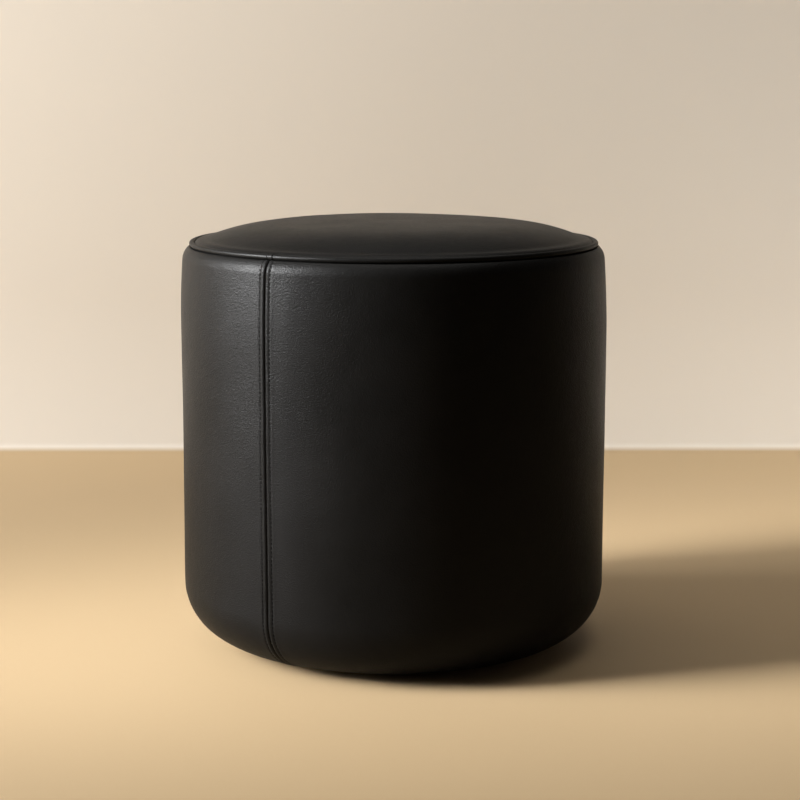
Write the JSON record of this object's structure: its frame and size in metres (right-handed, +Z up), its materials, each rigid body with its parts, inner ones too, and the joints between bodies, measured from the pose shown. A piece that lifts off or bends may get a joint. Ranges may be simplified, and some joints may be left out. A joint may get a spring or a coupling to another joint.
{
  "type": "leather pouf",
  "caption": "Round upholstered pouf: a leather drum with a crowned seat, a welted top edge, one stitched side seam and a rounded foot.",
  "frame": {"origin": "on the floor under the middle of the pouf, in the plane of the glides' lower faces", "axes": "+Z up the axis of the drum, the stitched side seam at -Y, +X to the right of the seam"},
  "size_m": [0.42, 0.4205, 0.42],
  "materials": {
    "hide": "fine pebbled grain, satin, near black",
    "welt_hide": "thin hide stretched round the cord, satin, near black",
    "thread": "bonded thread, near black",
    "cord": "twisted paper and cotton filler cord, off-white",
    "tape": "woven backing tape, off-white",
    "foam": "polyurethane foam, cream",
    "wadding": "polyester wadding, white",
    "dust_cloth": "non-woven cloth, black",
    "plywood": "birch plywood, untreated",
    "timber": "planed softwood, untreated",
    "zinc_steel": "zinc plated",
    "nylon": "moulded nylon, black"
  },
  "bodies": {
    "root": {"base_board": "plywood", "base_screws": "zinc_steel", "crown_foam": "foam", "dust_cover": "dust_cloth", "dust_cover_staples": "zinc_steel", "glide_1": "nylon", "glide_2": "nylon", "glide_3": "nylon", "glide_4": "nylon", "glide_screws": "zinc_steel", "leather_staples": "zinc_steel", "seam_tape": "tape", "seat_board": "plywood", "seat_foam": "foam", "seat_screws": "zinc_steel", "side_band": "hide", "side_foam": "foam", "side_seam_thread": "thread", "side_wadding": "wadding", "top_panel": "hide", "top_wadding": "wadding", "topstitch_left": "thread", "topstitch_right": "thread", "upright_1": "timber", "upright_2": "timber", "upright_3": "timber", "upright_4": "timber", "upright_5": "timber", "upright_6": "timber", "wall_panel": "plywood", "wall_staples": "zinc_steel", "welt_cord": "cord", "welt_cover": "welt_hide", "welt_seam_thread": "thread"}
  },
  "joints": []
}
